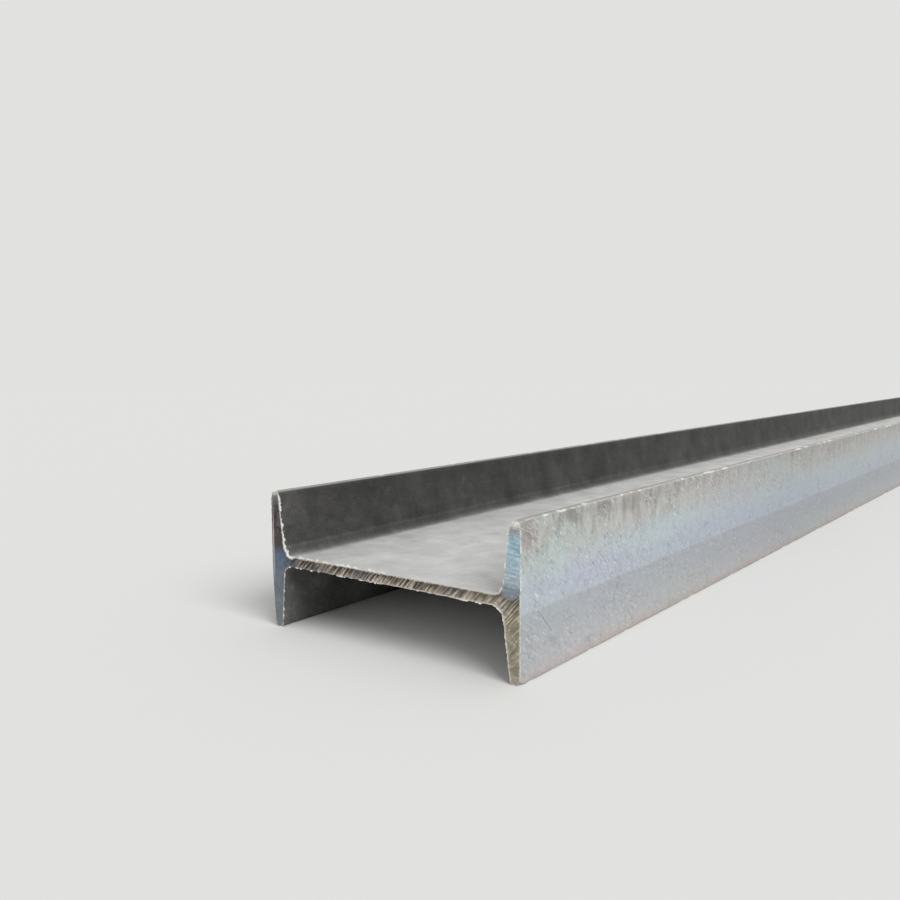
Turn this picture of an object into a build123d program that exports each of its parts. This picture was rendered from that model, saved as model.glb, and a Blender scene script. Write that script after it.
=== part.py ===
from build123d import *
import os

# A hot-rolled steel I-beam with tapered flanges, lying on its side: the web is
# level, the flanges stand upright, and their lower toes touch the floor.
# X runs along the beam, Y across its height and Z up, in millimetres. The
# origin is at floor level, under the middle of the beam.

length = 6000.0            # one stock bar, cut square at both ends
section_height = 250.0     # over the outer faces of the two flanges
flange_width = 116.0       # from toe to toe of one flange
web_thickness = 8.0
flange_thickness = 11.5    # halfway out from the web to a toe, where it is gauged
flange_taper = 1 / 8       # lean of the flanges' inner faces, thicker at the web
root_radius = 10.0         # between the web and the inner faces
toe_radius = 4.0           # inner edge of each toe
arris_radius = 1.5         # outer edge of each toe, as the rolls leave it

# A rounded edge never takes more of the toe than these shares of its thickness.
toe_share = 0.6
arris_share = 0.2

half_height = section_height / 2
half_width = flange_width / 2
half_web = web_thickness / 2
taper_rise = flange_taper * (half_width - half_web) / 2
toe_thickness = flange_thickness - taper_rise
root_thickness = flange_thickness + taper_rise
toe_fillet = min(toe_radius, toe_share * toe_thickness)
arris_fillet = min(arris_radius, arris_share * toe_thickness)

# The section is drawn about its own centre, which lies half a flange above the floor.
end_plane = Plane(origin=(-length / 2, 0, half_width), x_dir=(0, 1, 0), z_dir=(1, 0, 0))

with BuildPart() as i_beam:
    with BuildSketch(end_plane) as section:
        with BuildLine() as quarter:
            Polyline(
                (0, 0),
                (half_height, 0),
                (half_height, half_width),
                (half_height - toe_thickness, half_width),
                (half_height - root_thickness, half_web),
                (0, half_web),
                close=True,
            )
        make_face()
        root_corner = section.vertices().group_by(Axis.Y)[1].sort_by(Axis.X)[-1]
        fillet(root_corner, root_radius)
        toe_corner = section.vertices().group_by(Axis.Y)[-1].sort_by(Axis.X)[0]
        fillet(toe_corner, toe_fillet)
        arris_corner = section.vertices().group_by(Axis.Y)[-1].sort_by(Axis.X)[-1]
        fillet(arris_corner, arris_fillet)
        mirror(about=Plane.YZ)
        mirror(about=Plane.XZ)
    extrude(amount=length)

i_beam.part.label = "i_beam"

os.makedirs("parts", exist_ok=True)
export_step(i_beam.part, "parts/i_beam.step")

section_area = i_beam.part.volume / length
print(f"i_beam: {len(i_beam.part.solids())} solid, {len(i_beam.part.faces())} faces")
print(f"section area {section_area / 100:.2f} cm2, toe {toe_thickness:.2f} mm, root {root_thickness:.2f} mm")
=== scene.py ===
from functools import partial
from math import acos, cos, pi, radians, sin, tan
import bpy
import bmesh
import numpy as np
from mathutils import Matrix, Vector
from mathutils.geometry import delaunay_2d_cdt


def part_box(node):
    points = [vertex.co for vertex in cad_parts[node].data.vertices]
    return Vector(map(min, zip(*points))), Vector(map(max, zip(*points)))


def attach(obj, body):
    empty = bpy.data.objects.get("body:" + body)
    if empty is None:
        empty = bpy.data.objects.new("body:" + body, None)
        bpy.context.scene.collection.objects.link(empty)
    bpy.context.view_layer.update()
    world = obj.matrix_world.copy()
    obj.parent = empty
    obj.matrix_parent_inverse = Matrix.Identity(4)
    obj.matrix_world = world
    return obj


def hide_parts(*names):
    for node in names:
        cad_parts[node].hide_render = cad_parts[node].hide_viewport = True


# A hot-rolled steel I-beam, lying on its side on a pale floor. The steel is dressed
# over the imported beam: mill scale on the rolled faces, saw marks and burr at the cuts.

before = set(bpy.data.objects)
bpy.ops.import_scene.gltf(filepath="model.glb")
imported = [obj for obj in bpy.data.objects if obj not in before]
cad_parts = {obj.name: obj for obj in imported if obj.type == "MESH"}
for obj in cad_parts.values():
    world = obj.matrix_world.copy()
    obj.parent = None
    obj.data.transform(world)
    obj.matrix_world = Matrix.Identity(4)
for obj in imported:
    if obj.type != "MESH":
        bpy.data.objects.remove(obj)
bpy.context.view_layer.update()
boxLow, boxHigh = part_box("i_beam")
scene = bpy.context.scene
scene.view_settings.view_transform = "Standard"
print("frame loaded")


# The setting that says what a node of each kind does
modes = {"Math": "operation", "VectorMath": "operation", "Mix": "data_type", "Mapping": "vector_type",
         "MapRange": "interpolation_type"}


def addNode(tree, kind, inputs=(), mode=None, stops=(), **settings):
    # kind goes without "ShaderNode"; inputs go by name, or in the order in which the settings leave them,
    # each a number, a colour, an object, a socket, or a node, whose first output in use is read
    node = tree.nodes.new(kind if "Node" in kind else "ShaderNode" + kind)
    if mode:
        setattr(node, modes[kind], mode)
    for name, value in settings.items():
        setattr(node, name, value)
    shown = [k for k, socket in enumerate(node.inputs) if socket.enabled]
    for name, value in (inputs.items() if isinstance(inputs, dict) else zip(shown, inputs)):
        if isinstance(value, bpy.types.Node):
            value = next(socket for socket in value.outputs if socket.enabled)
        if isinstance(value, bpy.types.NodeSocket):
            tree.links.new(value, node.inputs[name])
        else:
            node.inputs[name].default_value = toLinear(value) if str(value).startswith("#") else value
    for count, (place, colour) in enumerate(stops):
        ends = node.color_ramp.elements
        stop = ends[count] if count < 2 else ends.new(place)
        stop.position = place
        stop.color = toLinear(colour)
    return node


def toLinear(code):
    # "#rrggbb" as seen on screen, to the linear values that the shader mixes
    shades = [int(code[i:i + 2], 16) / 255 for i in (1, 3, 5)]
    return [s / 12.92 if s <= 0.04045 else ((s + 0.055) / 1.055) ** 2.4 for s in shades] + [1]


def newMaterial(name):
    material = bpy.data.materials.new(name)
    material.use_nodes = True
    material.node_tree.nodes.clear()
    return material, partial(addNode, material.node_tree)


# The rolled section, in metres
section = {
    "height": boxHigh.y - boxLow.y,
    "width": boxHigh.z - boxLow.z,
    "web": 0.008,
    "flange": 0.0115,       # halfway between web and toe
    "taper": 1 / 8,
    "rootRadius": 0.010,
    "toeRadius": 0.004,
    "arrisRadius": 0.0015,
    # each stretch from the web's middle out to the flange's, with how many steps the body
    # has there, and how many finer ones each of them has at a cut end
    "stretches": [("web", 11, 12), ("root", 6, 3), ("lean", 7, 8), ("toe", 5, 2), ("toe", 1, 4),
                  ("arris", 3, 2), ("outer", 9, 8)],
}
halfHeight, halfWidth = section["height"] / 2, section["width"] / 2


def quarterOutline(size):
    # the quarter with y and z positive, from the middle of the web's face to the middle of the outer face
    halfWeb = size["web"] / 2
    rise = size["taper"] * (halfWidth - halfWeb) / 2
    corners = np.array([
        (0, halfWeb),
        (halfHeight - size["flange"] - rise, halfWeb),
        (halfHeight - size["flange"] + rise, halfWidth),
        (halfHeight, halfWidth),
        (halfHeight, 0),
    ])
    radii = [size["rootRadius"], size["toeRadius"], size["arrisRadius"]]
    counts = [steps * fine for _, steps, fine in size["stretches"]]
    points = []
    start = corners[0]
    for turn in range(4):
        arcStart = corners[turn + 1]
        if turn < 3:
            back = corners[turn] - arcStart
            ahead = corners[turn + 2] - arcStart
            back, ahead = back / np.hypot(*back), ahead / np.hypot(*ahead)
            halfAngle = acos(back @ ahead) / 2
            middle = (back + ahead) / np.hypot(*(back + ahead))
            centre = arcStart + middle * radii[turn] / sin(halfAngle)
            reach = radii[turn] / tan(halfAngle)
            arcStart, arcEnd = arcStart + back * reach, arcStart + ahead * reach
        count = counts[turn * 2]
        points += [start + (arcStart - start) * k / count for k in range(count)]
        if turn < 3:
            count = counts[turn * 2 + 1]
            first = np.arctan2(*(arcStart - centre)[::-1])
            sweep = np.arctan2(*(arcEnd - centre)[::-1]) - first
            sweep = (sweep + pi) % (2 * pi) - pi
            for angle in [first + sweep * k / count for k in range(count)]:
                points.append(centre + radii[turn] * np.array([cos(angle), sin(angle)]))
            start = arcEnd
    onBody = [k % fine == 0 for _, steps, fine in size["stretches"] for k in range(steps * fine)]
    part = [name for name, steps, fine in size["stretches"] for _ in range(steps * fine)]
    return np.array(points + [corners[-1]]), onBody + [True], part + ["outer"]


def wholeOutline(size):
    # once round, through the quarters in turn
    points, onBody, part = quarterOutline(size)
    out, back = range(len(points) - 1), range(len(points) - 1, 0, -1)
    order, flips = [], []
    for flip, ids in (((1, 1), out), ((1, -1), back), ((-1, -1), out), ((-1, 1), back)):
        order += ids
        flips += [flip] * len(ids)
    return points[order] * flips, np.array(onBody)[order], np.array(part)[order]


outline, onBody, stretch = wholeOutline(section)
arrisShare = (stretch == "arris").astype(float)
around = np.concatenate([[0], np.cumsum(np.hypot(*(np.roll(outline, -1, 0) - outline).T))])
girth = around[-1]
tangent = np.roll(outline, -1, 0) - np.roll(outline, 1, 0)
tangent /= np.hypot(*tangent.T)[:, None]
outward = np.stack([np.zeros(len(outline)), -tangent[:, 1], tangent[:, 0]], 1)
print("section drawn:", len(outline), "points round a cut,", onBody.sum(), "round the body")

# A cut end: burr left by the saw on the edges where its blade came out, as shares of the full height
cutEnd = {
    # rings behind the cut: how far back, and how many of the outline's points to one of theirs, 0 for
    # the body's own, then the share of the burr that each one takes
    "collar": [(0.0, 1), (0.0005, 1), (0.0012, 1), (0.0022, 1), (0.0038, 2), (0.0066, 4), (0.012, 0)],
    "lip": [1, 0.6, 0.2, 0, 0, 0, 0],
    "burr": {"upper left": 1.0, "lower left": 0.6, "upper right": 0.4, "lower right": 0.35},
    "burrOn": {"web": 0.70, "root": 1.3, "lean": 1.0, "toe": 0.5, "arris": 0.0, "outer": 0.0},
    "underWeb": (-0.094, -0.068, 0.5),    # a tuft of burr below the web: from, to, share
    "burrSpread": 4,              # points to either side that a share is evened out over
    "sawSlant": radians(-48),     # of the marks, from the web's line
    "acrossMarks": 0.00050,       # spacing of the mesh across a saw mark
    "alongMarks": 0.0015,
    "inset": 0.00035,             # the least that its inner points stand in from the outline
}


def burrShare(values):
    names = np.where(outline[:, 1] > 0, "upper", "lower")
    names = np.char.add(np.char.add(names, " "), np.where(outline[:, 0] > 0, "left", "right"))
    share = np.array([values["burr"][a] * values["burrOn"][b] for a, b in zip(names, stretch)])
    first, last, tuft = values["underWeb"]
    across, height = outline.T
    share[(stretch == "web") & (height < 0) & (across > first) & (across < last)] = tuft
    spread = values["burrSpread"]
    soft = np.ones(2 * spread + 1) / (2 * spread + 1)
    return np.convolve(np.concatenate([share[-spread:], share, share[:spread]]), soft, "valid")


def depthInside(points):
    # how far each point is from the section's outline, or 0 if it is outside
    batch = 1500    # points at a time, to spare memory
    ends = np.roll(outline, -1, 0)
    span = ends - outline
    depth = np.zeros(len(points))
    for first in range(0, len(points), batch):
        p = points[first:first + batch, None]
        rising = (outline[:, 1] > p[..., 1]) != (ends[:, 1] > p[..., 1])
        with np.errstate(divide="ignore", invalid="ignore"):
            crossing = outline[:, 0] + span[:, 0] * (p[..., 1] - outline[:, 1]) / span[:, 1]
        odd = (rising & (p[..., 0] < crossing)).sum(1) % 2 == 1
        share = ((p - outline) * span).sum(2) / (span ** 2).sum(1)
        nearest = outline + span * share.clip(0, 1)[..., None]
        depth[first:first + batch] = odd * np.hypot(*np.moveaxis(p - nearest, 2, 0)).min(1)
    return depth


def triangles(points, edges):
    # flat points in metres to triangles, with the edges kept
    made = delaunay_2d_cdt([Vector(p * 1000) for p in points], edges, [], 1, 1e-6)
    source = [ids[0] for ids in made[3]]
    return [[source[k] for k in face] for face in made[2]]


def keepValues(mesh, name, values, kind="FLOAT", domain="POINT"):
    layer = mesh.attributes.new(name, kind, domain)
    layer.data.foreach_set("vector" if kind == "FLOAT_VECTOR" else "value", np.ravel(values))


def cutEndMesh(values):
    # the sawn face and the first 12 mm of the rolled faces, at the end with x negative
    count = len(outline)
    cosine, sine = cos(values["sawSlant"]), sin(values["sawSlant"])
    reach = section["height"] * 0.6    # past the section's corners, however the marks lie
    rows = np.arange(-reach, reach, values["acrossMarks"])
    places = np.arange(-reach, reach, values["alongMarks"])
    row, place = np.meshgrid(rows, places, indexing="ij")
    place = place + (np.arange(len(rows)) % 2)[:, None] * values["alongMarks"] / 2
    grid = np.stack([place * cosine - row * sine, place * sine + row * cosine], 2).reshape(-1, 2)
    grid = grid[(abs(grid[:, 0]) < halfHeight) & (abs(grid[:, 1]) < halfWidth)]
    depth = depthInside(grid)
    grid, depth = grid[depth > values["inset"]], depth[depth > values["inset"]]
    flat = np.concatenate([outline, grid])
    faces = triangles(flat, [(k, (k + 1) % count) for k in range(count)])
    cutCount = len(faces)
    fromEdge = np.concatenate([np.zeros(count), depth])
    place = [np.stack([np.zeros(len(flat)), *flat.T], 1)]
    out = [outward, np.zeros((len(grid), 3))]
    share = burrShare(values)
    burr = [share * values["lip"][0], np.zeros(len(grid))]
    turn = [around[:-1] / girth, np.zeros(len(grid))]
    worn = [arrisShare, np.zeros(len(grid))]
    total = len(flat)
    strip, owner, rims = [], [], []
    for (back, every), lip in zip(values["collar"], values["lip"]):
        ids = [k for k in range(count) if onBody[k] or every and k % every == 0]
        if back == 0:
            names = ids
        else:
            names = list(range(total, total + len(ids)))
            total += len(ids)
            place.append(np.stack([np.full(len(ids), back), *outline[ids].T], 1))
            out.append(outward[ids])
            burr.append(share[ids] * lip)
            turn.append(around[ids] / girth)
            worn.append(arrisShare[ids])
        rims.append(range(len(strip), len(strip) + len(ids) + 1))
        strip += [(around[k], back) for k in ids] + [(girth, back)]
        owner += names + [names[0]]
    edges = [(a, a + 1) for rim in (rims[0], rims[-1]) for a in rim[:-1]]
    edges += [(a[side], b[side]) for a, b in zip(rims, rims[1:]) for side in (0, -1)]
    faces += [[owner[k] for k in face] for face in triangles(np.array(strip), edges)]
    mesh = bpy.data.meshes.new("cut end")
    mesh.from_pydata(np.concatenate(place), [], faces)
    fromEdge = np.concatenate([fromEdge, np.zeros(len(mesh.vertices) - len(flat))])
    sawn = np.arange(len(mesh.vertices)) < len(flat)
    keepValues(mesh, "outward", np.concatenate(out), "FLOAT_VECTOR")
    keepValues(mesh, "fromEdge", fromEdge)
    keepValues(mesh, "sawn", sawn.astype(float))
    for name, parts in (("burr", burr), ("around", turn), ("arris", worn)):
        keepValues(mesh, name, np.concatenate(parts))
    keepValues(mesh, "cutFace", np.arange(len(faces)) < cutCount, "BOOLEAN", "FACE")
    mesh.transform(Matrix.Translation((boxLow.x, 0, halfWidth)))
    print("cut end meshed:", len(faces), "faces,", cutCount, "of them sawn")
    return mesh


def sectionMesh():
    # the body's outline, laid out as Curve to Mesh wants it for a path along X
    ids = np.flatnonzero(onBody)
    place = np.stack([-outline[ids, 0], -outline[ids, 1], np.zeros(len(ids))], 1)
    mesh = bpy.data.meshes.new("rolled section")
    mesh.from_pydata(place, [(k, (k + 1) % len(ids)) for k in range(len(ids))], [])
    keepValues(mesh, "outward", outward[ids], "FLOAT_VECTOR")
    keepValues(mesh, "around", around[ids] / girth)
    keepValues(mesh, "arris", arrisShare[ids])
    return mesh


# Where the body's mesh has its rings: closer together near the ends, most of all at the near one
body = {
    "rings": [(0.30, 0.003), (1.20, 0.012), (4.80, 0.060), (6.00, 0.015)],   # spacing up to a distance
    "sharpAngle": radians(38),    # edges that turn by more are shown sharp
}


def bodyLine(values):
    # a line through the middle of the web, with a point at each ring
    collar = cutEnd["collar"][-1][0]
    length = boxHigh.x - boxLow.x
    stops = [collar]
    for reach, spacing in values["rings"]:
        reach = min(reach, length - collar)
        steps = max(1, round((reach - stops[-1]) / spacing))
        stops += list(np.linspace(stops[-1], reach, steps + 1)[1:])
    mesh = bpy.data.meshes.new("rolling line")
    points = [(boxLow.x + x, 0, halfWidth) for x in stops]
    mesh.from_pydata(points, [(k, k + 1) for k in range(len(points) - 1)], [])
    print("rolling line:", len(points), "rings")
    return mesh


# What the rolls, the saw and handling left on the steel, in metres
relief = {
    "Burr height": 0.0034,
    "Burr size": 0.0034,
    "Wave height": 0.00025,
    "Wave size": 1 / 14,
    "Chip depth": 0.0008,
    "Chip size": 1 / 95,
    "Corner wear": 0.0018,   # of the flanges' outer corners at the cuts
    "Saw depth": 0.00030,
    "Saw slant": cutEnd["sawSlant"],
    "Mark width": 0.0015,
    "Mark length": 0.026,
    "Bend": 0.0038,          # of the lower left flange at the near end, inwards
    "Bend reach": 0.18,
    "Bend from": 0.085,      # how far across the section it starts
    "Bend full": 0.108,
    "Seed": 4.0,
}


def cutPlane(add, apart):
    # which end, how far to its left, and both with the height; the far end is the near one turned round
    ending = add("Math", [apart["X"]], "SIGN")
    toLeft = add("Math", [apart["Y"], ending], "MULTIPLY")
    toLeft = add("Math", [toLeft, -1.0], "MULTIPLY")
    return ending, toLeft, add("CombineXYZ", [ending, toLeft, apart["Z"]])


def cornerReach(add, apart):
    # how far across from the middle, and that and the height from it together, most at a toe's corner
    fromWeb = add("Math", [apart["Y"]], "ABSOLUTE")
    fromMiddle = add("Math", [apart["Z"], halfWidth], "SUBTRACT")
    fromMiddle = add("Math", [fromMiddle], "ABSOLUTE")
    return fromWeb, add("Math", [fromWeb, fromMiddle], "ADD")


def rollTree(scaleSteel, cutSteel):
    tree = bpy.data.node_groups.new("roll the beam", "GeometryNodeTree")
    add = partial(addNode, tree)
    sockets = [("Geometry", "Geometry"), ("Section", "Object"), ("Line", "Object")]
    for name, kind in sockets + [(name, "Float") for name in relief]:
        tree.interface.new_socket(name, in_out="INPUT", socket_type="NodeSocket" + kind)
    tree.interface.new_socket("Geometry", in_out="OUTPUT", socket_type="NodeSocketGeometry")
    given = add("NodeGroupInput").outputs
    halfLength = (boxHigh.x - boxLow.x) / 2
    marks = {}
    for name in ("outward", "burr", "arris", "sawn", "cutFace"):
        kind = {"outward": "FLOAT_VECTOR", "cutFace": "BOOLEAN"}.get(name, "FLOAT")
        marks[name] = add("GeometryNodeInputNamedAttribute", [name], data_type=kind)

    # the body: the section swept along the line
    profile, line = [add("GeometryNodeObjectInfo", {"Object": given[name]}).outputs["Geometry"]
                     for name in ("Section", "Line")]
    profile = add("GeometryNodeMeshToCurve", [profile])
    line = add("GeometryNodeMeshToCurve", [line])
    bodySteel = add("GeometryNodeCurveToMesh", {"Curve": line, "Profile Curve": profile})

    # the far end is the near one turned half round, and its outward directions turn with it
    farEnd = add("GeometryNodeTransform", {"Geometry": given["Geometry"], "Rotation": (0, 0, pi)})
    turned = add("VectorMath", [marks["outward"], (-1, -1, 1)], "MULTIPLY")
    farEnd = add("GeometryNodeStoreNamedAttribute",
                 {"Geometry": farEnd, "Name": "outward", "Value": turned}, data_type="FLOAT_VECTOR")
    joined = add("GeometryNodeJoinGeometry")
    for part in (given["Geometry"], bodySteel.outputs[0], farEnd.outputs[0]):
        tree.links.new(part, joined.inputs[0])
    whole = add("GeometryNodeMergeByDistance", {"Geometry": joined, "Distance": 0.00002})

    # where each point was rolled, before any relief
    place = add("GeometryNodeInputPosition")
    whole = add("GeometryNodeStoreNamedAttribute",
                {"Geometry": whole, "Name": "rolledPlace", "Value": place}, data_type="FLOAT_VECTOR")
    apart = add("SeparateXYZ", [place]).outputs
    noise = {}
    for count, (name, roughness) in enumerate((("Burr", 0.7), ("Wave", 0.45), ("Chip", 0.6))):
        seed = add("Math", [given["Seed"], count * 3.7], "ADD")
        scale = add("Math", [1.0, given[name + " size"]], "DIVIDE")
        noise[name] = add("TexNoise", [place, seed, scale, 2.0, roughness], noise_dimensions="4D")

    # burr: ragged lumps that hang over the inner edges of the cut
    lumps = add("MapRange", [noise["Burr"], 0.46, 0.66, 0.12, 1.0])
    lumps = add("Math", [lumps, marks["burr"]], "MULTIPLY")

    # chips along the outer arrises of the toes
    knocks = add("MapRange", [noise["Chip"], 0.56, 0.68])
    knocks = add("Math", [knocks, marks["arris"]], "MULTIPLY")

    # corners of the toes worn round at the cuts
    fromCut = add("Math", [apart["X"]], "ABSOLUTE")
    nearCut = add("MapRange", [fromCut, halfLength - 0.007, halfLength], "SMOOTHSTEP")
    corner = cornerReach(add, apart)[1]
    cornerEnd = halfHeight + halfWidth
    wear = add("MapRange", [corner, cornerEnd - 0.0065, cornerEnd - 0.0005], "SMOOTHSTEP")
    wear = add("Math", [wear, nearCut], "MULTIPLY")

    # these and the mill wave, as rolled faces are never quite flat, lift the surface or sink it
    lift = 0.0
    for share, name, sense in ((lumps, "Burr height", "ADD"), (noise["Wave"], "Wave height", "SUBTRACT"),
                               (knocks, "Chip depth", "SUBTRACT"), (wear, "Corner wear", "SUBTRACT")):
        share = add("Math", [share, given[name]], "MULTIPLY")
        lift = add("Math", [lift, share], sense)
    lift = add("VectorMath", [marks["outward"], lift], "SCALE")

    # what is torn or knocked bare shines in the finish
    bare = add("Math", [lumps, knocks], "MAXIMUM")
    whole = add("GeometryNodeStoreNamedAttribute", {"Geometry": whole, "Name": "bare", "Value": bare})

    # saw marks, pressed in where the finish below paints shade in the grooves
    ending, _, lines = cutPlane(add, apart)
    lines = add("VectorRotate", {"Vector": lines, "Angle": given["Saw slant"]}, rotation_type="X_AXIS",
                invert=True)
    markSize = add("CombineXYZ", [1.0, given["Mark length"], given["Mark width"]])
    lines = add("VectorMath", [lines, markSize], "DIVIDE")
    lines = add("TexNoise", [lines, 1.0, 2.5, 0.6])
    groove = add("MapRange", [lines, 0.58, 0.38])
    for share in (marks["sawn"], given["Saw depth"], ending, -1.0):
        groove = add("Math", [groove, share], "MULTIPLY")

    # the lower left flange was knocked inwards at the near end
    bend = add("MapRange", [apart["Z"], halfWidth * 1.02, halfWidth * -0.35], "SMOOTHSTEP")
    far = add("Math", [apart["X"], halfLength], "ADD")
    far = add("Math", [far, given["Bend reach"]], "DIVIDE")
    far = add("MapRange", [far, 1.0, -0.25], "SMOOTHSTEP")
    side = add("MapRange", [apart["Y"], given["Bend from"], given["Bend full"]], "SMOOTHSTEP")
    for share in (far, side, given["Bend"], -1.0):
        bend = add("Math", [bend, share], "MULTIPLY")

    # nothing stands past the section's own box, so burr on a toe is pressed flat by what it lies on
    moved = add("CombineXYZ", [groove, bend])
    for other, how in ((lift, "ADD"), (place, "ADD"), (tuple(boxLow), "MAXIMUM"),
                       (tuple(boxHigh), "MINIMUM")):
        moved = add("VectorMath", [moved, other], how)
    whole = add("GeometryNodeSetPosition", {"Geometry": whole, "Position": moved})
    whole = add("GeometryNodeRealizeInstances", [whole])
    whole = add("GeometryNodeSetMaterial", {"Geometry": whole, "Material": scaleSteel})
    whole = add("GeometryNodeSetMaterial", [whole, marks["cutFace"], cutSteel])
    add("NodeGroupOutput", [whole])
    return tree


# The baked picture's layout, in pixels of 1024: both cuts along the top, the rolled faces unrolled
# below them, with the first metre, which is seen closest, given more than its share
pixelMap = {
    "whole": 1024,
    "margin": 4,
    "endWidth": 504,
    "sideHeight": 774,
    "nearReach": 1.0,
    "nearPixels": 400,
}


def readValues(data, name, width=1, kind=float):
    values = np.empty(len(data) * width, kind)
    data.foreach_get(name, values)
    return values


def layPixelMap(mesh, values):
    whole, margin = values["whole"], values["margin"]
    corners = readValues(mesh.loops, "vertex_index", kind=int)
    sizes = readValues(mesh.polygons, "loop_total", kind=int)
    place = readValues(mesh.attributes["rolledPlace"].data, "vector", 3).reshape(-1, 3)[corners]
    turn = readValues(mesh.attributes["around"].data, "value")[corners]
    sawn = np.repeat(readValues(mesh.attributes["cutFace"].data, "value", kind=bool), sizes)
    # faces across the start of the outline run on past it
    starts = np.concatenate([[0], np.cumsum(sizes)[:-1]])
    past = np.repeat(np.maximum.reduceat(turn, starts) - np.minimum.reduceat(turn, starts) > 0.5, sizes)
    turn[past & (turn < 0.5)] += 1
    near = place[:, 0] < 0
    scale = values["endWidth"] / section["height"]
    left = np.where(near, margin, whole - margin - values["endWidth"])
    endU = left + (halfHeight + np.where(near, -1, 1) * place[:, 1]) * scale
    endV = whole - margin - (section["width"] - place[:, 2]) * scale
    along = place[:, 0] - boxLow.x
    reach, rest = values["nearReach"], whole - 2 * margin - values["nearPixels"]
    sideU = np.where(along < reach, along / reach * values["nearPixels"],
                     values["nearPixels"] + (along - reach) / (boxHigh.x - boxLow.x - reach) * rest)
    spots = np.where(sawn[:, None], np.stack([endU, endV], 1),
                     np.stack([margin + sideU, margin + turn * values["sideHeight"]], 1))
    layer = mesh.uv_layers.new(name="OFBake", do_init=False)
    layer.uv.foreach_set("vector", (spots / whole).ravel())
    for name in ("around", "outward", "burr", "arris", "sawn", "cutFace", "rolledPlace"):
        mesh.attributes.remove(mesh.attributes[name])


def rollBeam(scaleSteel, cutSteel):
    base = bpy.data.objects.new("cut end", cutEndMesh(cutEnd))
    profile = bpy.data.objects.new("rolled section", sectionMesh())
    line = bpy.data.objects.new("rolling line", bodyLine(body))
    for helper in (base, profile, line):
        scene.collection.objects.link(helper)
    modifier = base.modifiers.new("roll", "NODES")
    modifier.node_group = rollTree(scaleSteel, cutSteel)
    items = modifier.node_group.interface.items_tree
    sockets = {item.name: item.identifier for item in items if item.in_out == "INPUT"}
    modifier[sockets["Section"]] = profile
    modifier[sockets["Line"]] = line
    for name, value in relief.items():
        modifier[sockets[name]] = float(value)
    evaluated = base.evaluated_get(bpy.context.evaluated_depsgraph_get())
    mesh = bpy.data.meshes.new_from_object(evaluated)
    mesh.name = "rolled beam"
    for helper in (base, profile, line):
        bpy.data.objects.remove(helper)
    sheet = bmesh.new()
    sheet.from_mesh(mesh)
    bmesh.ops.recalc_face_normals(sheet, faces=sheet.faces)
    openEdges = sum(not e.is_manifold for e in sheet.edges)
    sheet.to_mesh(mesh)
    sheet.free()
    mesh.shade_smooth()
    mesh.set_sharp_from_angle(angle=body["sharpAngle"])
    layPixelMap(mesh, pixelMap)
    print("beam rolled:", len(mesh.polygons), "faces,", openEdges, "open edges")
    beam = bpy.data.objects.new("rolled_beam", mesh)
    scene.collection.objects.link(beam)
    return beam


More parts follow.
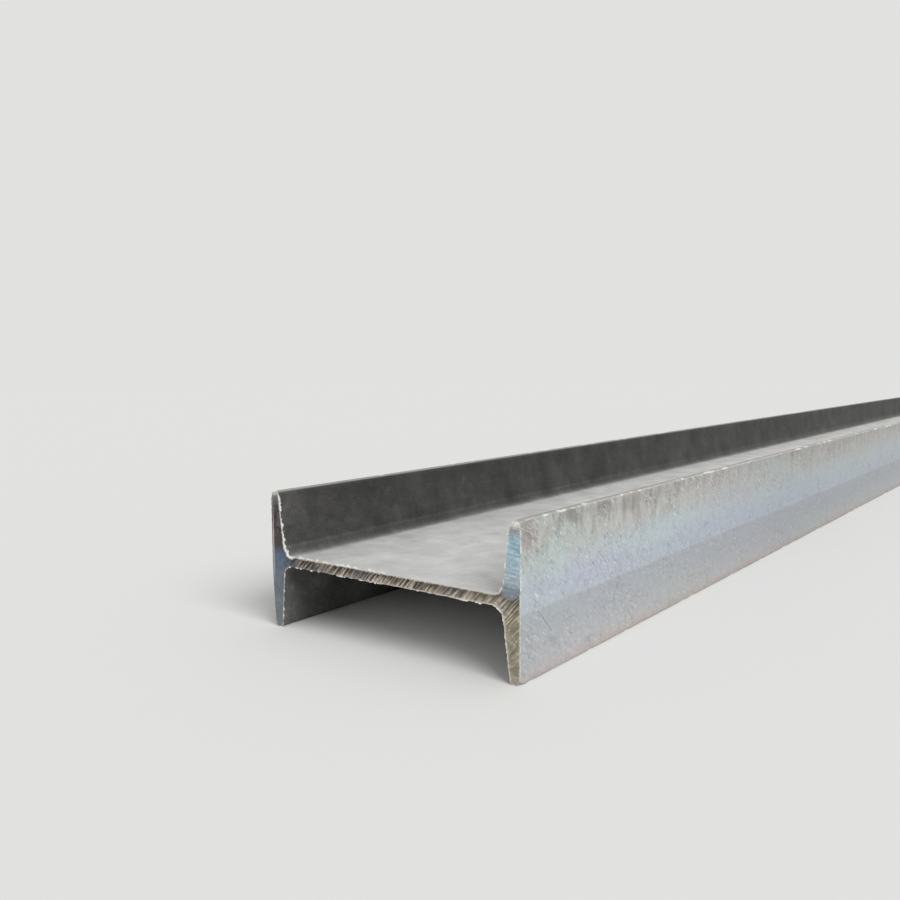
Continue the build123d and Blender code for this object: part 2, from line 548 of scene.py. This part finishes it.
# Hot-rolled mild steel under its mill scale: a thin, dull blue-grey oxide skin, blotched lavender and
# green by uneven cooling, warm and rain-stained below the upper toe, with bright worn arrises. The eye
# sees a pale, slightly glossy grey that drifts in colour, with short slanting strokes in some patches.
millScale = {
    # up the outer faces, from the lower toe to the upper one
    "outer": [(0.0, "#ada099"), (0.02, "#bfb4af"), (0.045, "#c0b9b6"), (0.10, "#bbbcbd"), (0.30, "#b0b4b9"),
              (0.42, "#b0b5bc"), (0.45, "#b1b9c3"), (0.52, "#b2bac4"), (0.62, "#b4bdc3"), (0.76, "#b7bbba"),
              (0.86, "#b9b8b5"), (0.96, "#afaca9")],
    # the left flange's inner face above the web, dark partly from its scale and partly as painted shade, the
    # right one's, lightened as painted light against the shade it lies in, both below it, and the web itself
    "innerLeftScaleAndShade": [(0.30, "#242423"), (0.70, "#484745")],
    "innerRightPaintedLight": [(0.30, "#5e5e5c"), (0.70, "#8c8c89")],
    "innerLower": [(0.30, "#4c4d4b"), (0.70, "#767774")],
    "web": [(0.30, "#bdbdbb"), (0.70, "#dfdfdd")],
    # lavender and green patches: which of three slow noises, where in it they start and are full,
    # strength and colour
    "tints": [(1, 0.46, 0.66, 0.2, "#b3b1c4"), (2, 0.50, 0.68, 0.4, "#aebdb9")],
    "rust": "#8d7b70",
    "streak": "#88827c",
    "toe": "#a5a19c",
    "worn": "#e2dfd6",
    # noises: size in metres, how many finer ones go into each, and how strong those are
    "noises": {
        "bitten": (0.030, 2.0, 0.5),
        "clouds": (1 / 30, 8.0, 0.62),
        "rust": (1 / 45, 8.0, 0.75),
        "mottle": (0.006, 5.0, 0.72),
        "beads": (0.004, 3.0, 0.7),
        "grain": (0.0011, 2.0, 0.5),
    },
    "patchSize": 0.11,
    "streakSize": 0.009,
    "drawnLength": 1 / 12,        # of the fine lines along the web
    "drawnWidth": 0.002,
    "fade": 0.82,                 # painted shade: how much darker the outer faces are away from the near end
    "paintedShadeReach": (0.1, 0.6),
    "rollLine": 0.050,            # height of the faint line that the rolls left along the outer face
    "paintedRootHighlight": 0.069,            # and of the painted highlight along the upper roots
    "paintedLightByCut": 2.0,                 # painted light: how much paler the upper inner faces are at the cuts
    "paintedLightByCutReach": (0.036, 0.008),
    # short slanting strokes on the outer faces: lean in degrees, width and length in mm, where in
    # the noise they start and are full, colour and strength
    "strokes": [
        (36, 1.6, 8, 0.55, 0.69, "#dcdddb", 0.62),
        (44, 1.4, 7, 0.55, 0.69, "#73767a", 0.62),
        (40, 4.5, 12, 0.52, 0.70, "#8f9296", 0.18),
        (30, 4.0, 10, 0.54, 0.72, "#cfcfca", 0.16),
        (52, 0.8, 16, 0.67, 0.72, "#57575a", 0.70),
    ],
    "strokeDistortion": 1.1,
    # single marks on the near side: mm along from the near end and up from the floor, length and
    # width in mm, lean in degrees, colour and strength
    "marks": [
        (12, 103, 26, 24, 0, "#b3a3a2", 0.65),
        (34, 100, 16, 26, 30, "#a7a39b", 0.50),
        (70, 111, 30, 15, 20, "#7d7b77", 0.75),
        (121, 110, 24, 18, 0, "#85827e", 0.65),
        (103, 97, 6, 20, 12, "#8f8278", 0.45),
        (168, 108, 40, 20, 0, "#918d88", 0.55),
        (46, 84, 44, 40, 0, "#b5c4c2", 0.55),
        (225, 77, 260, 30, -1, "#b4c2c8", 0.55),
        (100, 64, 190, 24, 0, "#b1b3c6", 0.55),
        (420, 60, 560, 24, 0, "#adb6c3", 0.55),
        (700, 66, 700, 20, 0, "#b0bbc5", 0.50),
        (33, 39, 34, 1.3, 46, "#6d6b6c", 0.65),
        (44, 22, 18, 9, 30, "#95989a", 0.55),
    ],
    "scratchWidth": 2,            # in mm: marks that are wider have shaken outlines
    "metallic": 0.22,
    "roughness": (0.44, 0.64),
    "relief": 0.00016,
}


def finishSteel(add, look, colour, pattern, height):
    # the shader, shinier or duller with one pattern and bumped by another
    shine = add("MapRange", [pattern, 0.3, 0.7, *look["roughness"]])
    bump = add("Bump", {"Strength": 1.0, "Distance": look["relief"], "Height": height})
    steel = add("BsdfPrincipled", {"Base Color": colour, "Metallic": look["metallic"], "Roughness": shine,
                                   "Normal": bump})
    add("OutputMaterial", [steel])


def millScaleSteel(look):
    material, add = newMaterial("hot-rolled steel with mill scale")
    width = section["width"]
    place = add("TexCoord").outputs["Object"]
    apart = add("SeparateXYZ", [place]).outputs
    fromWeb, corner = cornerReach(add, apart)
    toCut = add("Math", [apart["X"]], "ABSOLUTE")
    onOuter = add("MapRange", [fromWeb, halfHeight - 0.003, halfHeight - 0.0012])
    onFlange = add("MapRange", [fromWeb, halfHeight - 0.032, halfHeight - 0.015], "SMOOTHERSTEP")
    onLeft = add("MapRange", [apart["Y"], -0.02, 0.02])
    above = add("MapRange", [apart["Z"], halfWidth - 0.008, halfWidth + 0.008])    # the web
    noise = {name: add("TexNoise", [place, 1 / size, *finer])
             for name, (size, *finer) in look["noises"].items()}
    mottle = noise["mottle"]

    # slow patches, three of them at once in a noise's three colours
    patches = add("Mapping", {"Vector": place, "Scale": (0.45, 1, 1)})
    patches = add("TexNoise", [patches, 1 / look["patchSize"], 3.0, 0.55])
    patch = add("SeparateColor", [patches.outputs["Color"]]).outputs

    # height up the flange, with a ragged border between its bands
    height = add("Math", [apart["Z"], width], "DIVIDE")
    ragged = add("Math", [patch[0], 0.2, -0.1], "MULTIPLY_ADD")
    inBand = add("MapRange", [height, 0.02, 0.2])
    ragged = add("Math", [ragged, inBand], "MULTIPLY")
    height = add("Math", [height, ragged], "ADD")
    colour = add("ValToRGB", [height], stops=look["outer"])

    # the flanges' inner faces, which are darker (above the web on the left partly painted shade, on the
    # right lightened as painted light), and the pale web, all with fine lines drawn by the rolls
    inside = add("ValToRGB", [noise["clouds"]], stops=look["innerLeftScaleAndShade"])
    for share, name in ((onLeft, "innerRightPaintedLight"), (above, "innerLower"), (onFlange, "web")):
        other = add("ValToRGB", [noise["clouds"]], stops=look[name])
        inside = add("Mix", [share, other, inside], "RGBA")
    acrossLines = 1 / look["drawnWidth"]
    drawn = add("Mapping", {"Vector": place, "Scale": (1 / look["drawnLength"], acrossLines, acrossLines)})
    drawn = add("TexNoise", [drawn, 1.0, 3.0, 0.6])
    shade = add("MapRange", [drawn, 0.3, 0.7, 0.94, 1.06])
    inside = add("VectorMath", [inside, shade], "SCALE")

    # the inner faces are mottled and grainy; above the web they carry painted light and shade: paler by the
    # cuts, a painted highlight along the roots, and painted shade towards the top
    rough = add("MapRange", [noise["grain"], 0.3, 0.7, 0.74, 1.26])
    start, end = look["paintedLightByCutReach"]
    paintedLightAndShade = add("MapRange", [toCut, boxHigh.x - start, boxHigh.x - end, 1.0, look["paintedLightByCut"]], "SMOOTHSTEP")
    # painted highlight: a pale line along the upper roots
    paintedRootHighlight = add("Math", [apart["Z"], look["paintedRootHighlight"]], "SUBTRACT")
    paintedRootHighlight = add("Math", [paintedRootHighlight], "ABSOLUTE")
    paintedRootHighlight = add("MapRange", [paintedRootHighlight, 0.0018, 0.0004, 1.0, 1.35])
    paintedLightAndShade = add("Math", [paintedLightAndShade, paintedRootHighlight], "MULTIPLY")
    # painted shade: darker towards the top of the upper inner faces
    high = add("MapRange", [apart["Z"], 0.08, 0.112, 1.0, 0.7])
    paintedLightAndShade = add("Math", [paintedLightAndShade, high], "MULTIPLY")
    paintedLightAndShade = add("Mix", [above, 1.0, paintedLightAndShade])
    shade = add("MapRange", [mottle, 0.3, 0.7, 0.76, 1.24])
    shade = add("Math", [shade, rough], "MULTIPLY")
    shade = add("Math", [shade, paintedLightAndShade], "MULTIPLY")
    shade = add("Mix", [onFlange, 1.0, shade])
    inside = add("VectorMath", [inside, shade], "SCALE")

    # tints of the outer faces, and the step in them at the roll line
    for k, start, end, strength, code in look["tints"]:
        tint = add("MapRange", [patch[k], start, end, 0.0, strength])
        colour = add("Mix", [tint, colour, code], "RGBA")
    below = add("MapRange", [apart["Z"], look["rollLine"] - 0.001, look["rollLine"], 0.89, 1.0])
    colour = add("VectorMath", [colour, below], "SCALE")

    # single marks, with outlines shaken by the mottling
    shaken = add("VectorMath", [mottle.outputs["Color"], (-0.5, -0.5, -0.5)], "ADD")
    shaken = add("VectorMath", [shaken, (0.01, 0.0, 0.01), place], "MULTIPLY_ADD")
    for x, z, markLength, markWidth, lean, code, strength in look["marks"]:
        mark = add("Mapping", {
            "Vector": shaken if markWidth > look["scratchWidth"] else place,
            "Location": (boxLow.x + x / 1000, boxLow.y, z / 1000),
            "Rotation": (0, radians(lean), 0),
            "Scale": (markLength / 2000, 0.02, markWidth / 2000),
        }, "TEXTURE")
        mark = add("TexGradient", [mark], gradient_type="SPHERICAL").outputs["Fac"]
        mark = add("MapRange", [mark, 0.0, 0.5, 0.0, strength])
        colour = add("Mix", [mark, colour, code], "RGBA")

    # rain stains below the upper toe
    streaks = add("Mapping", {"Vector": place, "Scale": (1, 1, 0.22)})
    streaks = add("TexNoise", [streaks, 1 / look["streakSize"], 5.0, 0.72])
    streaks = add("MapRange", [streaks, 0.46, 0.62])
    high = add("MapRange", [height, 0.68, 0.98, 0.0, 0.95])
    uneven = add("MapRange", [patch[1], 0.4, 0.6, 1.0, 0.35])
    streaks = add("Math", [streaks, high], "MULTIPLY")
    streaks = add("Math", [streaks, uneven], "MULTIPLY")
    colour = add("Mix", [streaks, colour, look["streak"]], "RGBA")

    # short slanting strokes, light and dark, at their real size, with smooth patches between them
    bitten = add("MapRange", [noise["bitten"], 0.42, 0.58, 0.35, 1.25])
    high = add("MapRange", [height, 0.65, 0.9, 1.0, 1.45])
    bitten = add("Math", [bitten, high], "MULTIPLY")
    bumps = add("Math", [mottle, 0.5], "MULTIPLY")
    for count, (lean, acrossIt, alongIt, start, end, code, strength) in enumerate(look["strokes"]):
        stroke = add("Mapping", {
            "Vector": place,
            "Location": (count * 7.3, 0, 0),    # each kind has a noise of its own
            "Rotation": (0, radians(lean), 0),
            "Scale": (alongIt / 1000, acrossIt / 1000, acrossIt / 1000),
        }, "TEXTURE")
        stroke = add("TexNoise", {"Vector": stroke, "Scale": 1.0, "Detail": 3.0, "Roughness": 0.65,
                                  "Distortion": look["strokeDistortion"]})
        stroke = add("MapRange", [stroke, start, end, 0.0, strength])
        stroke = add("Math", [stroke, bitten], "MULTIPLY")
        colour = add("Mix", [stroke, colour, code], "RGBA")
        bumps = add("Math", [stroke, -1.0 if count else 1.0, bumps], "MULTIPLY_ADD")
    shade = add("MapRange", [mottle, 0.3, 0.7, 0.9, 1.1])
    grain = add("MapRange", [noise["grain"], 0.3, 0.7, 0.92, 1.08])
    shade = add("Math", [shade, grain], "MULTIPLY")
    # painted shade: the outer faces darken away from the near end
    start, end = look["paintedShadeReach"]
    fade = add("MapRange", [apart["X"], boxLow.x + start, boxLow.x + end, 1.0, look["fade"]])
    shade = add("Math", [shade, fade], "MULTIPLY")
    colour = add("VectorMath", [colour, shade], "SCALE")
    colour = add("Mix", [onOuter, inside, colour], "RGBA")

    # rust, in small dull blotches, and fewer of them inside
    rust = add("MapRange", [noise["rust"], 0.57, 0.72, 0.0, 0.32])
    fewer = add("MapRange", [onOuter, 0.0, 1.0, 0.4, 1.0])
    rust = add("Math", [rust, fewer], "MULTIPLY")

    # the upper toes' flat edges are as pale as the outer faces
    toe = add("MapRange", [apart["Z"], width - 0.0014, width - 0.0004, 0.0, 0.85])

    # arrises rubbed bright in beads, the rim of the cut too, and burr torn bare
    corner = add("Math", [noise["beads"], 0.003, corner], "MULTIPLY_ADD")
    cornerEnd = halfHeight + halfWidth
    worn = add("MapRange", [corner, cornerEnd, cornerEnd + 0.0009, 0.0, 0.65])
    high = add("MapRange", [apart["Z"], 0.0, width, 0.12, 1.0])
    worn = add("Math", [worn, high], "MULTIPLY")
    wider = add("MapRange", [apart["Z"], halfWidth, halfWidth + 0.012, 0.004, 0.015])
    uneven = add("Math", [noise["beads"], 0.5], "SUBTRACT")
    toCut = add("Math", [uneven, wider, toCut], "MULTIPLY_ADD")
    cutRim = add("MapRange", [toCut, boxHigh.x - 0.0008, boxHigh.x - 0.0001, 0.0, 0.9])
    bare = add("Attribute", attribute_name="bare").outputs["Fac"]
    torn = add("MapRange", [bare, 0.04, 0.2])
    for share in (torn, cutRim):
        worn = add("Math", [worn, share], "MAXIMUM")
    for share, name in ((rust, "rust"), (toe, "toe"), (worn, "worn")):
        colour = add("Mix", [share, colour, look[name]], "RGBA")
    finishSteel(add, look, colour, mottle, bumps)
    return material


# Steel cut by a band saw while the stock was bundled: bare metal that has since gone brown, crossed by blade
# marks drawn with painted shade in their grooves and thin painted highlights on the ridges between. The
# saw's heat left the upper right flange pale blue, down to a crisp round tongue, and the left root slate
# blue. Toes and edges are rimmed with pale, smeared metal.
sawCut = {
    # along the web from its right root to its left one, between the marks
    "brown": [(0.0, "#837a68"), (0.09, "#938a77"), (0.20, "#9d9280"), (0.45, "#857a6b"),
              (0.62, "#91867a"), (0.74, "#8b8072"), (0.85, "#4b4641"), (1.0, "#58585a")],
    # up the left flange and up the right one, from toe to toe
    "left": [(0.0, "#84888b"), (0.14, "#70767b"), (0.28, "#6d767c"), (0.42, "#64737f"), (0.54, "#5a6d83"),
             (0.61, "#443f3b"), (0.80, "#36302c"), (0.90, "#4a4551"), (0.97, "#85807d"), (0.985, "#d6d1ca")],
    "right": [(0.0, "#958f80"), (0.12, "#928c79"), (0.36, "#8d8770"), (0.46, "#7d7866"), (0.50, "#7e878f"),
              (0.59, "#8e99a3"), (0.62, "#a9b7be"), (0.74, "#abc5d1"), (0.86, "#a8c6d2"), (0.935, "#9aa0a1"),
              (0.968, "#e9e7df")],
    "tinge": "#68636c",           # purplish patches, on the web and high on the left flange
    "grooveShadeColour": "#2e2824",            # painted shade in the grooves of the blade marks, and painted highlights on the ridges between them
    "line": "#dad1c2",
    "seam": "#cdc1ba",            # the pale line just inside the left flange's outer edge
    "rim": "#d6cfc3",
    "burr": "#fcfbf8",
    # how far in from the outer faces the flanges' colours start and are full, left and right, and
    # on the right below the web
    "leftZone": (0.021, 0.010),
    "rightZone": (0.0165, 0.015),
    "lowerRightZone": (0.022, 0.012),
    "tongue": (0.0595, -0.1165, 75.0),   # its lowest height, where across, and how round, per metre
    "stain": (0.020, 0.0590, 0.014),     # a purplish patch on the web: where across, how high, its radius
    "crescent": [(0.0985, 0.1015), (0.1095, 0.1065)],   # of smeared burr: where across it starts and ends
    "seamPlace": 0.0023,          # in from the edge
    # noises, given as for the mill scale
    "noises": {
        "tinge": (1 / 36, 2.0, 0.5),
        "cloud": (1 / 70, 6.0, 0.68),
        "blotch": (1 / 210, 3.0, 0.6),
        "beads": (1 / 260, 2.0, 0.6),
        "speck": (1 / 420, 3.0, 0.7),
    },
    "markWidth": relief["Mark width"],
    "markLength": relief["Mark length"],
    "markSlant": relief["Saw slant"],
    "levelLength": 0.012,         # of the fine strokes on the blued steel
    "levelWidth": 0.0016,
    "levelSlant": radians(6),
    "metallic": 0.30,
    "roughness": (0.36, 0.58),
    "relief": 0.0005,
}


def sawCutSteel(look):
    material, add = newMaterial("saw-cut steel")
    place = add("TexCoord").outputs["Object"]
    apart = add("SeparateXYZ", [place]).outputs
    _, toLeft, flat = cutPlane(add, apart)
    across = add("Math", [toLeft, 1 / section["height"], 0.5], "MULTIPLY_ADD")
    height = add("Math", [apart["Z"], section["width"]], "DIVIDE")

    noise = {name: add("TexNoise", [flat, 1 / size, *finer])
             for name, (size, *finer) in look["noises"].items()}
    cloud, speck = noise["cloud"], noise["speck"]
    ragged = add("Math", [cloud, 0.1, height], "MULTIPLY_ADD")
    ragged = add("Math", [ragged, 0.05], "SUBTRACT")
    left = add("ValToRGB", [ragged], stops=look["left"])
    right = add("ValToRGB", [height], stops=look["right"])
    colour = add("ValToRGB", [across], stops=look["brown"])

    # purplish patches
    tinge = add("MapRange", [noise["tinge"], 0.48, 0.6, 0.0, 0.55])
    sideways, upwards, radius = look["stain"]
    stain = add("Mapping",
                {"Vector": flat, "Location": (-1, sideways, upwards), "Scale": (1, radius, radius / 2)},
                "TEXTURE")
    stain = add("TexGradient", [stain], gradient_type="SPHERICAL").outputs["Fac"]
    stain = add("MapRange", [stain, 0.0, 0.5, 0.0, 0.8])
    tinge = add("Math", [tinge, stain], "MAXIMUM")
    colour = add("Mix", [tinge, colour, look["tinge"]], "RGBA")
    blotch = add("MapRange", [noise["blotch"], 0.48, 0.6, 0.0, 0.7])
    high = add("MapRange", [height, 0.6, 0.72])
    blotch = add("Math", [blotch, high], "MULTIPLY")
    left = add("Mix", [blotch, left, look["tinge"]], "RGBA")

    # which zone: the left flange with its root, the right one, and how far the tongue reaches down it
    start, end = look["leftZone"]
    onLeft = add("Math", [cloud, 0.01, toLeft], "MULTIPLY_ADD")
    onLeft = add("MapRange", [onLeft, halfHeight - start, halfHeight - end])
    onRight, lowerRight = [add("MapRange", [toLeft, start - halfHeight, end - halfHeight])
                           for start, end in (look["rightZone"], look["lowerRightZone"])]
    low, middle, roundness = look["tongue"]
    tongue = add("Math", [toLeft, middle], "SUBTRACT")
    tongue = add("Math", [tongue, 2.0], "POWER")
    tongue = add("Math", [tongue, -roundness, apart["Z"]], "MULTIPLY_ADD")
    tongue = add("MapRange", [tongue, low - 0.0004, low + 0.0006])
    cool = add("Math", [onRight, tongue], "MULTIPLY")
    colour = add("Mix", [onLeft, colour, left], "RGBA")
    olive = add("MapRange", [height, 0.5, 0.44])
    lowerRight = add("Math", [lowerRight, olive], "MULTIPLY")
    coloured = add("Math", [cool, lowerRight], "MAXIMUM")
    colour = add("Mix", [coloured, colour, right], "RGBA")

    # blade marks: painted shade in their grooves and thin painted highlights on the ridges between,
    # strongest on the brown steel
    lines = add("Mapping", {
        "Vector": flat,
        "Rotation": (look["markSlant"], 0, 0),
        "Scale": (1, look["markLength"], look["markWidth"]),
    }, "TEXTURE")
    lines = add("TexNoise", [lines, 1.0, 2.5, 0.6])
    plain = add("Math", [onLeft, 0.85], "MULTIPLY")
    calm = add("MapRange", [height, 0.52, 0.3, 0.0, 0.55])
    calm = add("Math", [calm, lowerRight], "MULTIPLY")
    for share in (cool, calm):
        plain = add("Math", [plain, share], "MAXIMUM")
    strong = add("Math", [1.0, plain], "SUBTRACT")
    # deeper towards the web's upper face, which the blade met first
    bite = add("MapRange", [apart["Z"], halfWidth - 0.004, halfWidth + 0.004, -0.05, 0.09])
    biting = add("MapRange", [across, 0.6, 0.74, 1.4, 0.6])
    bite = add("Math", [bite, biting], "MULTIPLY")
    bite = add("Math", [lines, bite], "SUBTRACT")
    bite = add("Math", [cloud, 0.2, bite], "MULTIPLY_ADD")
    paintedGrooveShade = add("MapRange", [bite, 0.6, 0.51])
    deeper = add("MapRange", [across, 0.05, 0.45, 0.55, 0.95])
    for share in (deeper, strong):
        paintedGrooveShade = add("Math", [paintedGrooveShade, share], "MULTIPLY")
    colour = add("Mix", [paintedGrooveShade, colour, look["grooveShadeColour"]], "RGBA")
    # painted highlights on the ridges between the grooves
    bright = add("MapRange", [bite, 0.63, 0.73, 0.0, 0.95])
    fewer = add("MapRange", [across, 0.855, 0.885, 1.0, 0.15])
    uneven = add("MapRange", [speck, 0.38, 0.58, 0.35, 1.0])
    for share in (strong, fewer, uneven):
        bright = add("Math", [bright, share], "MULTIPLY")
    colour = add("Mix", [bright, colour, look["line"]], "RGBA")

    # fine level strokes on the blued steel, and grit all over
    level = add("Mapping", {
        "Vector": flat,
        "Rotation": (look["levelSlant"], 0, 0),
        "Scale": (1, look["levelLength"], look["levelWidth"]),
    }, "TEXTURE")
    level = add("TexNoise", [level, 1.0, 3.0, 0.65])
    shade = add("MapRange", [level, 0.3, 0.7, 0.68, 1.32])
    shade = add("Mix", [cool, 1.0, shade])
    for pattern in (cloud, speck):
        grit = add("MapRange", [pattern, 0.3, 0.7, 0.8, 1.2])
        shade = add("Math", [shade, grit], "MULTIPLY")
    colour = add("VectorMath", [colour, shade], "SCALE")

    # the left flange's outer edge has its pale line a little way in
    fromEdge = add("Attribute", attribute_name="fromEdge").outputs["Fac"]
    seam = add("Math", [speck, 0.0012, fromEdge], "MULTIPLY_ADD")
    seam = add("Math", [seam, look["seamPlace"]], "SUBTRACT")
    seam = add("Math", [seam], "ABSOLUTE")
    seam = add("MapRange", [seam, 0.0009, 0.0004, 0.0, 0.85])
    onSeam = add("MapRange", [toLeft, halfHeight - 0.004, halfHeight - 0.0034])
    lowSeam = add("MapRange", [ragged, 0.30, 0.48, 0.0, 1.0])
    highSeam = add("MapRange", [ragged, 0.88, 0.70, 0.3, 1.0])
    for share in (onSeam, lowSeam, highSeam):
        seam = add("Math", [seam, share], "MULTIPLY")

    # above the left root the burr was smeared into a bright crescent
    smear = add("MapRange", [fromEdge, 0.0024, 0.0013])
    for start, end in look["crescent"]:
        share = add("MapRange", [toLeft, start, end], "SMOOTHSTEP")
        smear = add("Math", [smear, share], "MULTIPLY")
    high = add("MapRange", [height, 0.5, 0.52])
    smear = add("Math", [smear, high], "MULTIPLY")

    # pale smeared metal along the other edges of the cut, in beads on the blued steel, and burr torn bare
    fromEdge = add("Math", [speck, -0.003, fromEdge], "MULTIPLY_ADD")
    wider = add("MapRange", [toLeft, -0.09, -0.105, 0.0, 0.0003])
    fromEdge = add("Math", [fromEdge, wider], "SUBTRACT")
    rim = add("MapRange", [fromEdge, -0.0005, -0.0011])
    offSeam = add("MapRange", [toLeft, halfHeight - 0.0025, halfHeight - 0.0035])
    high = add("MapRange", [height, 0.47, 0.53, 0.15, 0.9])
    toRight = add("MapRange", [toLeft, 0.02, -0.02, 0.0, 0.75])
    strength = add("Math", [high, toRight], "MAXIMUM")
    beads = add("MapRange", [noise["beads"], 0.5, 0.56])
    onEdge = add("MapRange", [toLeft, 0.004 - halfHeight, 0.003 - halfHeight, 0.15, 1.0])
    beads = add("Math", [beads, onEdge], "MULTIPLY")
    onToe = add("MapRange", [height, 0.93, 0.97])
    beads = add("Math", [beads, onToe], "MAXIMUM")
    beads = add("Mix", [cool, 1.0, beads])
    for share in (offSeam, strength, beads):
        rim = add("Math", [rim, share], "MULTIPLY")
    bare = add("Attribute", attribute_name="bare").outputs["Fac"]
    torn = add("MapRange", [bare, 0.06, 0.3])
    torn = add("Math", [torn, smear], "MAXIMUM")
    for share, name in ((seam, "seam"), (rim, "rim"), (torn, "burr")):
        colour = add("Mix", [share, colour, look[name]], "RGBA")

    deep = add("Math", [lines, strong], "MULTIPLY")
    finishSteel(add, look, colour, lines, deep)
    return material


scaleSteel = millScaleSteel(millScale)
cutSteel = sawCutSteel(sawCut)
print("materials made")
beam = rollBeam(scaleSteel, cutSteel)
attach(beam, "root")
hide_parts("i_beam")

# Floor, lights and camera
studio = {
    "floor": "#e6e6e4",
    "floorRadius": 16.0,
    "floorFade": (5.0, 15.0),    # it melts into the background between these distances
    "background": "#e1e2df",
    "skyStrength": 0.55,
    "sunStrength": 2.0,
    "sunFrom": (-0.25, -0.70, 0.62),
    "sunAngle": radians(35),
}

bpy.ops.mesh.primitive_circle_add(vertices=96, radius=studio["floorRadius"], fill_type="NGON")
floor = bpy.context.object
floor.name = "floor"
floorPaint, add = newMaterial("pale floor")
place = add("TexCoord").outputs["Object"]
reach = add("VectorMath", [place], "LENGTH")
fade = add("MapRange", [reach, *studio["floorFade"]], "SMOOTHSTEP")
matt = add("BsdfDiffuse", [studio["floor"]])
clear = add("BsdfTransparent")
add("OutputMaterial", [add("MixShader", [fade, matt, clear])])
floor.data.materials.append(floorPaint)

world = bpy.data.worlds.new("studio")
scene.world = world
world.use_nodes = True
world.node_tree.nodes.clear()
add = partial(addNode, world.node_tree)
# the camera sees the pale wall, and so do reflections; everything else is lit by the plain sky
rays = add("LightPath").outputs
seen = add("Math", [rays["Is Camera Ray"], rays["Is Glossy Ray"]], "MAXIMUM")
seen = add("Math", [seen, rays["Is Transmission Ray"]], "MAXIMUM")
sky = add("Background", {"Color": (1, 1, 1, 1), "Strength": studio["skyStrength"]})
wall = add("Background", {"Color": studio["background"]})
add("OutputWorld", [add("MixShader", [seen, sky, wall])])

sun = bpy.data.lights.new("soft key", "SUN")
sun.energy = studio["sunStrength"]
sun.angle = studio["sunAngle"]
sunLamp = bpy.data.objects.new("soft key", sun)
sunLamp.rotation_euler = Vector(studio["sunFrom"]).to_track_quat("Z", "Y").to_euler()
scene.collection.objects.link(sunLamp)

# The camera stands where the fit to the beam's edges in the photograph puts it
view = {
    "yaw": radians(37.311),      # from the beam's own line, towards its far side
    "pitch": radians(5.422),     # down
    "roll": radians(0.267),
    "place": (-3.5035, -0.4491, 0.2209),
    "lens": 893.4 / 900,         # pixels of the fit over the frame's 900, as a share of the sensor
    "sensor": 36,
}
yaw, pitch, roll = view["yaw"], view["pitch"], view["roll"]
ahead = Vector((cos(yaw) * cos(pitch), sin(yaw) * cos(pitch), -sin(pitch)))
right = Vector((sin(yaw), -cos(yaw), 0))
down = ahead.cross(right)
right, down = right * cos(roll) + down * sin(roll), down * cos(roll) - right * sin(roll)
cameraData = bpy.data.cameras.new("camera")
cameraData.sensor_width = view["sensor"]
cameraData.lens = view["lens"] * view["sensor"]
cameraData.clip_start = 0.01
camera = bpy.data.objects.new("camera", cameraData)
turned = Matrix((right, -down, -ahead)).transposed().to_4x4()
camera.matrix_world = Matrix.Translation(view["place"]) @ turned
scene.collection.objects.link(camera)
scene.camera = camera
